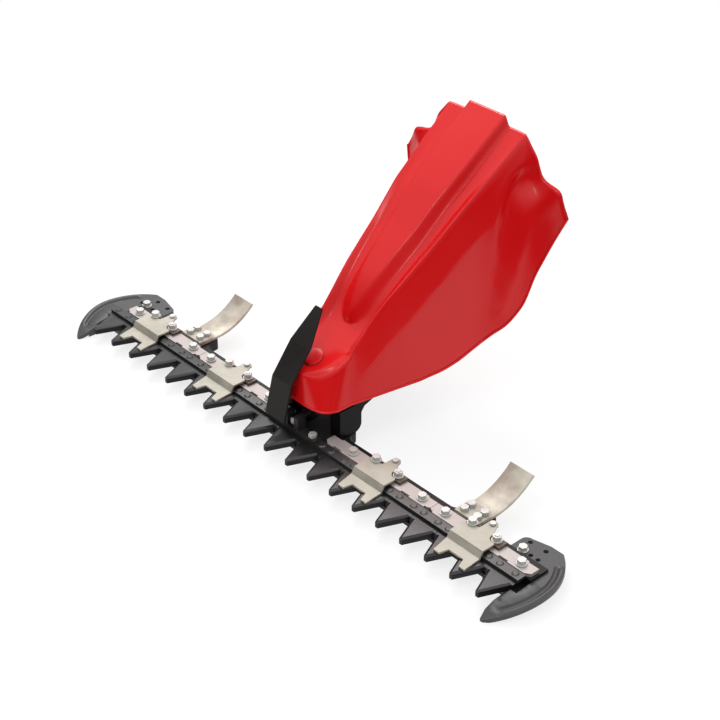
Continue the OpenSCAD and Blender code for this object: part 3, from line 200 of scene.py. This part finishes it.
# hood shell: side and nose lines of the right half, mirrored, refined both ways and given a wall
def buildHood():
    count = nose["lines"]
    half = [sideLine(y) for y in hood["stations"]]
    half += [noseLine(math.pi / 2 * k / count) for k in range(count, -1, -1)]
    flip = np.array((-1, 1, 1))
    lines = np.array(half + [line * flip for line in half[-2::-1]])
    beyond = lines[:, -2:-4:-1] * flip  # two rows past the crest keep it smooth, and are cut off again
    over = np.concatenate([lines, beyond], axis=1)
    spare = beyond.shape[1] * hood["acrossSteps"]
    fine = refine(refine(over, hood["acrossSteps"], 1)[:, :-spare], hood["alongSteps"], 0)
    faces = gridFaces(*fine.shape[:2])
    piece = addPiece("hoodShell", fine.reshape(-1, 3), faces, "frame", weld=hood["weld"])
    solid = piece.modifiers.new("wall", "SOLIDIFY")
    solid.thickness = hood["wall"] * mm
    solid.offset = -1
    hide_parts("hood")
    return piece, fine[:, 0]


hoodShell, rimPath = buildHood()

lip = {"radius": 1.6, "sides": 12}


# rolled lip of the hood: small circle carried along the rim
def buildLip(path):
    ahead = np.gradient(path, axis=0)
    ahead /= np.linalg.norm(ahead, axis=1)[:, None]
    side = np.cross(ahead, (0, 0, 1))
    side /= np.linalg.norm(side, axis=1)[:, None]
    rise = np.cross(side, ahead)
    turn = np.linspace(0, 2 * math.pi, lip["sides"] + 1)[None, :, None]
    ring = path[:, None] + lip["radius"] * (np.cos(turn) * side[:, None] + np.sin(turn) * rise[:, None])
    return addPiece("hoodLip", ring.reshape(-1, 3), gridFaces(*ring.shape[:2]), "frame")


hoodLip = buildLip(rimPath)

# the rounded edge lists how far it lies inside the radius and below the top
plug = {"radius": 13.3, "rise": 2.5, "flat": 6, "edge": [(1, 0), (0.3, 0.3), (0, 0.9)], "foot": -1, "sides": 64}
# the seam ring is black all round: a joint line, and painted shade standing in for the shaded edge of the raised plug
shadeSeam = {"inside": 0.5, "outside": 0.8, "low": -0.5, "high": 0.22}


# round plug and its black seam ring, a joint line darkened all round as painted shade for the plug's shaded edge: a
# half profile turned about the normal of the platform
def turned(name, profile):
    angle = math.atan(hood["slope"])
    normal = np.array((0, -math.sin(angle), math.cos(angle)))
    up = np.array((0, math.cos(angle), math.sin(angle)))
    turn = np.linspace(0, 2 * math.pi, plug["sides"] + 1)[None, :, None]
    flat = np.cos(turn) * np.array((1, 0, 0)) + np.sin(turn) * up
    rim = np.array(profile)[:, None, None, :]
    points = np.array((0, hood["plugY"], hood["plugZ"])) + rim[..., 0] * flat + rim[..., 1] * normal
    faces = gridFaces(len(profile), plug["sides"] + 1)
    return addPiece(name, points.reshape(-1, 3), faces, "frame")


plugLine = [(0, plug["rise"]), (plug["flat"], plug["rise"])]
plugLine += [(plug["radius"] - inset, plug["rise"] - drop) for inset, drop in plug["edge"]]
plugLine += [(plug["radius"], plug["foot"])]
hoodPlug = turned("hoodPlug", plugLine)
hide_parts("hood_plug")
shadeSeamIn, shadeSeamOut = plug["radius"] - shadeSeam["inside"], plug["radius"] + shadeSeam["outside"]
shadeSeamLine = [(shadeSeamIn, shadeSeam["low"]), (shadeSeamIn, shadeSeam["high"]), (shadeSeamOut, shadeSeam["high"]), (shadeSeamOut, shadeSeam["low"])]
plugShadeSeam = turned("plugShadeSeam", shadeSeamLine)
print("hood built:", len(hoodShell.data.vertices), "vertices")

# the shoe's top is flat behind rollY and rolls down in front of it on a large circle
shoe = {
    "centre": (349, 16), "inner": 73.0, "outer": 85.8, "angle": 41,
    "top": 18.7, "roll": 204.0, "rollY": 25.0,
    "dip": 2.2, "lift": 1.3, "clear": 0.05, "fade": 0.15, "steps": 121, "rows": 33,
}


# soft rim of a shoe: one sine wave across, channel then bead, carried along the arc and fading at its ends
def buildRim(name, side):
    turn = np.radians(np.linspace(-shoe["angle"], shoe["angle"], shoe["steps"]))[:, None]
    u = np.linspace(0, 1, shoe["rows"])[None]
    r = mix(shoe["inner"], shoe["outer"], u)
    x, y = shoe["centre"][0] + r * np.cos(turn), shoe["centre"][1] + r * np.sin(turn)
    back = np.minimum(y - shoe["rollY"], 0)
    z = shoe["top"] - shoe["roll"] + np.sqrt(shoe["roll"]**2 - back**2)
    wave = -np.sin(2 * math.pi * u) * np.where(u < 0.5, shoe["dip"], shoe["lift"])
    fade = eased((1 - np.abs(turn) / turn.max()) / shoe["fade"])
    points = np.stack([side * x, y, z + shoe["clear"] + wave * fade], axis=2)
    return addPiece(name, points.reshape(-1, 3), gridFaces(*z.shape), "frame")


shoeRims = [buildRim("leftRim", -1), buildRim("rightRim", 1)]
print("shoe rims built")

speckle = {"broadDetail": 5, "fineDetail": 3, "low": 0.35, "high": 0.68}


# group that turns a position into a soft mask and a fine height
def grainGroup():
    group = bpy.data.node_groups.new("grain", "ShaderNodeTree")
    face = group.interface
    face.new_socket("Vector", in_out="INPUT", socket_type="NodeSocketVector")
    face.new_socket("Broad", in_out="INPUT", socket_type="NodeSocketFloat")
    face.new_socket("Fine", in_out="INPUT", socket_type="NodeSocketFloat")
    face.new_socket("Mask", in_out="OUTPUT", socket_type="NodeSocketFloat")
    face.new_socket("Height", in_out="OUTPUT", socket_type="NodeSocketFloat")
    put, link = group.nodes.new, group.links.new
    enter, leave = put("NodeGroupInput"), put("NodeGroupOutput")
    broad, fine, ramp = put("ShaderNodeTexNoise"), put("ShaderNodeTexNoise"), put("ShaderNodeMapRange")
    broad.inputs["Detail"].default_value = speckle["broadDetail"]
    fine.inputs["Detail"].default_value = speckle["fineDetail"]
    ramp.inputs["From Min"].default_value = speckle["low"]
    ramp.inputs["From Max"].default_value = speckle["high"]
    for noise, key in ((broad, "Broad"), (fine, "Fine")):
        link(enter.outputs["Vector"], noise.inputs["Vector"])
        link(enter.outputs[key], noise.inputs["Scale"])
    link(broad.outputs["Fac"], ramp.inputs["Value"])
    link(ramp.outputs["Result"], leave.inputs["Mask"])
    link(fine.outputs["Fac"], leave.inputs["Height"])
    return group


grain = grainGroup()

# what a finish has where its own line says nothing else
plainLook = {"stretch": (1, 1, 1), "broad": 18, "fine": 900, "bump": 0.1, "depth": 0.0005, "metal": 0, "spec": 0.5}


# surface finish: two colours by the mask, roughness by the mask, bump by the fine height
def finish(name, own):
    look = {**plainLook, **own}
    mat = bpy.data.materials.new(name)
    mat.use_nodes = True
    tree = mat.node_tree
    put, link = tree.nodes.new, tree.links.new
    shader = tree.nodes["Principled BSDF"]
    where, scale, noise = put("ShaderNodeTexCoord"), put("ShaderNodeMapping"), put("ShaderNodeGroup")
    noise.node_tree = grain
    scale.inputs["Scale"].default_value = look["stretch"]
    noise.inputs["Broad"].default_value = look["broad"]
    noise.inputs["Fine"].default_value = look["fine"]
    link(where.outputs["Object"], scale.inputs["Vector"])
    link(scale.outputs["Vector"], noise.inputs["Vector"])
    tint = put("ShaderNodeMix")
    tint.data_type = "RGBA"
    tint.inputs["A"].default_value = (*look["color"], 1)
    tint.inputs["B"].default_value = (*look["worn"], 1)
    link(noise.outputs["Mask"], tint.inputs["Factor"])
    link(tint.outputs["Result"], shader.inputs["Base Color"])
    rough = put("ShaderNodeMapRange")
    rough.inputs["To Min"].default_value = look["rough"][0]
    rough.inputs["To Max"].default_value = look["rough"][1]
    link(noise.outputs["Mask"], rough.inputs["Value"])
    link(rough.outputs["Result"], shader.inputs["Roughness"])
    bump = put("ShaderNodeBump")
    bump.inputs["Strength"].default_value = look["bump"]
    bump.inputs["Distance"].default_value = look["depth"]
    link(noise.outputs["Height"], bump.inputs["Height"])
    link(bump.outputs["Normal"], shader.inputs["Normal"])
    shader.inputs["Metallic"].default_value = look["metal"]
    shader.inputs["Specular IOR Level"].default_value = look["spec"]
    return mat


looks = {
    "bar_black": {"color": (0.006, 0.006, 0.006), "worn": (0.016, 0.015, 0.015),
                  "rough": (0.35, 0.55), "spec": 0.22},
    "comb_black": {"color": (0.005, 0.005, 0.005), "worn": (0.012, 0.012, 0.012),
                   "rough": (0.35, 0.5), "spec": 0.22},
    "blade_steel": {"color": (0.04, 0.0385, 0.039), "worn": (0.068, 0.0655, 0.0665),
                    "rough": (0.24, 0.36), "metal": 0.9, "stretch": (1, 0.2, 1)},
    "back_steel": {"color": (0.06, 0.0585, 0.059), "worn": (0.1, 0.097, 0.095),
                   "rough": (0.3, 0.45), "metal": 0.85, "stretch": (0.15, 1, 1)},
    "plate_steel": {"color": (0.4, 0.355, 0.34), "worn": (0.52, 0.46, 0.44),
                    "rough": (0.45, 0.6), "metal": 0.4, "stretch": (0.2, 1, 1)},
    "zinc_sheet": {"color": (0.35, 0.333, 0.276), "worn": (0.48, 0.447, 0.38),
                   "rough": (0.42, 0.58), "metal": 0.3, "broad": 45},
    "zinc_stained": {"color": (0.58, 0.545, 0.455), "worn": (0.37, 0.3, 0.25),
                     "rough": (0.45, 0.6), "metal": 0.25, "broad": 38},
    "zinc_bolt": {"color": (0.54, 0.54, 0.525), "worn": (0.62, 0.61, 0.575),
                  "rough": (0.3, 0.44), "metal": 0.35, "broad": 60},
    "dark_steel": {"color": (0.02, 0.02, 0.021), "worn": (0.05, 0.048, 0.045),
                   "rough": (0.35, 0.5), "metal": 0.6},
    "block_steel": {"color": (0.09, 0.07, 0.055), "worn": (0.16, 0.12, 0.09),
                    "rough": (0.4, 0.6), "metal": 0.5},
    "shoe_black": {"color": (0.034, 0.033, 0.035), "worn": (0.06, 0.058, 0.06),
                   "rough": (0.34, 0.5), "fine": 500, "bump": 0.2},
    "guard_black": {"color": (0.015, 0.0125, 0.011), "worn": (0.022, 0.019, 0.017),
                    "rough": (0.45, 0.6), "spec": 0.2},
    "hood_red": {"color": (0.7, 0.004, 0.006), "worn": (0.73, 0.006, 0.008),
                 "rough": (0.19, 0.25), "spec": 0.35, "bump": 0.02, "broad": 9},
    "plug_red": {"color": (0.66, 0.006, 0.008), "worn": (0.7, 0.008, 0.01),
                 "rough": (0.25, 0.35), "spec": 0.35, "bump": 0.03},
    "casting_black": {"color": (0.003, 0.003, 0.003), "worn": (0.007, 0.007, 0.007),
                      "rough": (0.22, 0.4), "fine": 350, "bump": 0.25, "spec": 0.1},
    "shaft_steel": {"color": (0.45, 0.45, 0.46), "worn": (0.6, 0.6, 0.6), "rough": (0.2, 0.35), "metal": 1},
    "bronze": {"color": (0.45, 0.3, 0.1), "worn": (0.55, 0.4, 0.18), "rough": (0.3, 0.45), "metal": 1},
    "black_rubber": {"color": (0.01, 0.01, 0.01), "worn": (0.02, 0.02, 0.02), "rough": (0.6, 0.8)},
}
finishes = {key: finish(key, look) for key, look in looks.items()}
slotOf = {part["node"]: part["material_slot"] for part in frame["record"]["subparts"]}
slotOf.update(left_skid="zinc_stained", right_skid="zinc_stained")
for name, node in nodes.items():
    node.data.materials.clear()
    node.data.materials.append(finishes[slotOf[name]])
# the plug's seam ring takes black rubber as painted shade around the plug
for piece, key in ((hoodShell, "hood_red"), (hoodLip, "hood_red"), (hoodPlug, "plug_red"), (plugShadeSeam, "black_rubber"),
                   (shoeRims[0], "shoe_black"), (shoeRims[1], "shoe_black")):
    piece.data.materials.append(finishes[key])
print("finishes:", len(finishes))

# widths in metres, angles in degrees
edges = {
    "weld": 0.00001, "flatAngle": 0.4, "width": 0.0005, "segments": 2, "sharpAngle": 40,
    "wide": {"left_shoe": 0.0013, "right_shoe": 0.0013, "drive_housing": 0.001, "rear_cover": 0.001},
    "asIs": ("hood", "knife_rivets"),
}
# the edges of the solids are eased with a small bevel, wider on the shoes and the castings
for name, node in nodes.items():
    if name in edges["asIs"]:
        continue
    weld = node.modifiers.new("weld", "WELD")
    weld.merge_threshold = edges["weld"]
    flats = node.modifiers.new("flats", "DECIMATE")
    flats.decimate_type = "DISSOLVE"
    flats.angle_limit = math.radians(edges["flatAngle"])
    ease = node.modifiers.new("ease", "BEVEL")
    ease.width = edges["wide"].get(name, edges["width"])
    ease.segments = edges["segments"]
    ease.limit_method = "ANGLE"
    ease.angle_limit = math.radians(edges["sharpAngle"])
    ease.harden_normals = True
print("edges eased")

studio = {
    "floor": 1.15, "sides": 96, "paint": (0.9, 0.9, 0.9, 1), "rough": 0.9,
    "shade": 0.22, "fadeFrom": 0.55, "fadeMargin": 0.05,
    "zenith": 1.22, "horizon": 0.06, "sky": (-0.1, 0.2, 0.97), "skySpan": 0.75,
}


# round white floor: glows to the camera and in reflections, fully at its edge, and keeps a soft shadow in the middle
def whiteFloor():
    mesh = bpy.data.meshes.new("floor")
    turn = np.linspace(0, 2 * math.pi, studio["sides"], endpoint=False)
    rim = np.stack([np.cos(turn), np.sin(turn), 0 * turn], axis=1) * studio["floor"]
    mesh.from_pydata(rim.tolist(), [], [tuple(range(studio["sides"]))])
    floor = bpy.data.objects.new("floor", mesh)
    bpy.context.collection.objects.link(floor)
    mat = bpy.data.materials.new("floor")
    mat.use_nodes = True
    tree = mat.node_tree
    put, link = tree.nodes.new, tree.links.new
    shader, out = tree.nodes["Principled BSDF"], tree.nodes["Material Output"]
    shader.inputs["Base Color"].default_value = studio["paint"]
    shader.inputs["Roughness"].default_value = studio["rough"]
    glow, path, blend = put("ShaderNodeEmission"), put("ShaderNodeLightPath"), put("ShaderNodeMixShader")
    where, far, fade = put("ShaderNodeTexCoord"), put("ShaderNodeVectorMath"), put("ShaderNodeMapRange")
    seen, rays, share = put("ShaderNodeMath"), put("ShaderNodeMath"), put("ShaderNodeMath")
    far.operation = "LENGTH"
    fade.inputs["From Min"].default_value = studio["fadeFrom"]
    fade.inputs["From Max"].default_value = studio["floor"] - studio["fadeMargin"]
    fade.inputs["To Min"].default_value = 1 - studio["shade"]
    fade.inputs["To Max"].default_value = 1
    seen.operation = rays.operation = "MAXIMUM"
    share.operation = "MULTIPLY"
    link(where.outputs["Object"], far.inputs[0])
    link(far.outputs["Value"], fade.inputs["Value"])
    link(path.outputs["Is Camera Ray"], seen.inputs[0])
    link(path.outputs["Is Glossy Ray"], seen.inputs[1])
    link(seen.outputs["Value"], rays.inputs[0])
    link(path.outputs["Is Transmission Ray"], rays.inputs[1])
    link(rays.outputs["Value"], share.inputs[0])
    link(fade.outputs["Result"], share.inputs[1])
    link(share.outputs["Value"], blend.inputs["Fac"])
    link(shader.outputs["BSDF"], blend.inputs[1])
    link(glow.outputs["Emission"], blend.inputs[2])
    link(blend.outputs["Shader"], out.inputs["Surface"])
    mesh.materials.append(mat)


whiteFloor()


# world: white to the camera; as light it is bright overhead and dim at the horizon and below
def softWorld():
    world = bpy.data.worlds.new("studio")
    bpy.context.scene.world = world
    world.use_nodes = True
    tree = world.node_tree
    put, link = tree.nodes.new, tree.links.new
    back, path, tone = tree.nodes["Background"], put("ShaderNodeLightPath"), put("ShaderNodeMix")
    where, lean, sky = put("ShaderNodeTexCoord"), put("ShaderNodeVectorMath"), put("ShaderNodeMapRange")
    lean.operation = "DOT_PRODUCT"
    lean.inputs[1].default_value = studio["sky"]
    sky.interpolation_type = "SMOOTHSTEP"
    sky.inputs["From Min"].default_value = 0
    sky.inputs["From Max"].default_value = studio["skySpan"]
    sky.inputs["To Min"].default_value = studio["horizon"]
    sky.inputs["To Max"].default_value = studio["zenith"]
    tone.data_type = "RGBA"
    tone.inputs["B"].default_value = (1, 1, 1, 1)
    link(where.outputs["Generated"], lean.inputs[0])
    link(lean.outputs["Value"], sky.inputs["Value"])
    link(sky.outputs["Result"], tone.inputs["A"])
    link(path.outputs["Is Camera Ray"], tone.inputs["Factor"])
    link(tone.outputs["Result"], back.inputs["Color"])


softWorld()

# places and sizes in metres, power in watts
lights = {
    "keyLight": {"place": (-1.15, 0.8, 1.9), "target": (0, 0, 0.1), "size": 1.1, "power": 24},
    "stripLight": {"place": (0.2, -0.9, 1.75), "target": (0, 0.1, 0.2), "size": 0.18, "power": 2.6},
    "fillLight": {"place": (2.3, 0.0, 1.2), "target": (0, 0, 0.1), "size": 1.6, "power": 2.5},
}


# square soft light, turned so that it looks from its place to its target
def areaLight(name, place, target, size, power):
    data = bpy.data.lights.new(name, "AREA")
    data.shape = "SQUARE"
    data.size = size
    data.energy = power
    lamp = bpy.data.objects.new(name, data)
    bpy.context.collection.objects.link(lamp)
    lamp.location = place
    aim = np.array(target) - np.array(place)
    flat = math.hypot(aim[0], aim[1])
    lamp.rotation_euler = (math.atan2(flat, -aim[2]), 0, math.atan2(-aim[0], aim[1]))


for name, light in lights.items():
    areaLight(name, **light)
print("floor and lights set")

# the photographed view, angles in degrees
view = {"place": (1.358, -1.2457, 1.2644), "down": 32.94, "turn": 47.96, "sensor": 36, "lens": 83.36}
camera = bpy.data.objects.new("camera", bpy.data.cameras.new("camera"))
bpy.context.collection.objects.link(camera)
camera.data.sensor_width = view["sensor"]
camera.data.lens = view["lens"]
camera.location = view["place"]
camera.rotation_euler = (math.radians(90 - view["down"]), 0, math.radians(view["turn"]))
bpy.context.scene.camera = camera
bpy.context.scene.view_settings.view_transform = "Standard"
print("camera placed")
